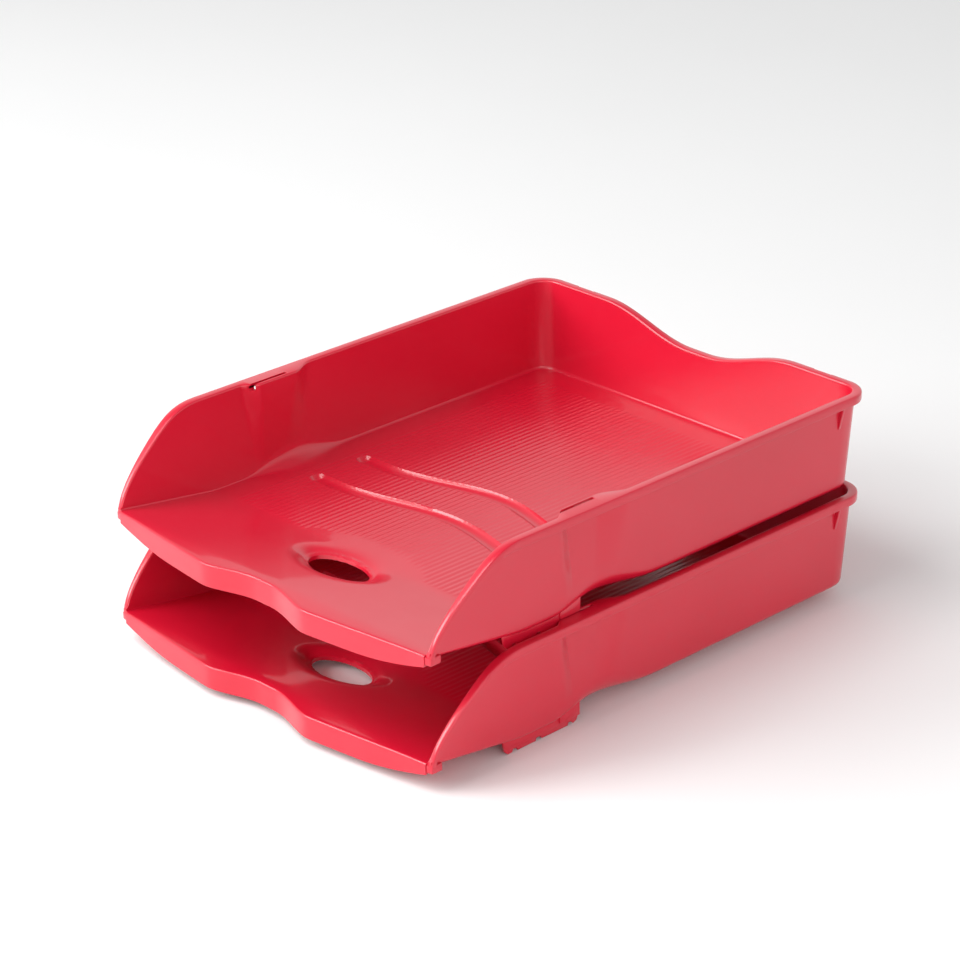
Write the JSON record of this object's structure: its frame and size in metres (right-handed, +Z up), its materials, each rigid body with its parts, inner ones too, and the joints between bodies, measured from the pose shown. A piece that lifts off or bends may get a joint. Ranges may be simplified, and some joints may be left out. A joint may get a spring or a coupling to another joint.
{
  "type": "stacked letter tray set",
  "caption": "Two stacked red plastic letter trays, each with a curved front lip, finger hole, ribbed floor, dipped rear rim and stacking feet; the upper one lifts off.",
  "frame": {"origin": "under the middle of the stack's bounding box, on the plane that the lower tray's feet stand on", "axes": "+X to the tray's right seen from its open front, +Y from the open front to the rear wall, +Z up"},
  "size_m": [0.255, 0.3402, 0.1234],
  "materials": {
    "red_gloss_polystyrene": "gloss"
  },
  "bodies": {
    "lower_tray": {"lower_tray": "red_gloss_polystyrene"},
    "upper_tray": {"upper_tray": "red_gloss_polystyrene"}
  },
  "joints": [
    {"name": "upper_tray_lift", "type": "slide", "parent": "lower_tray", "child": "upper_tray", "axis": [0, 0, 1], "range_m": [0, 0.08]}
  ]
}
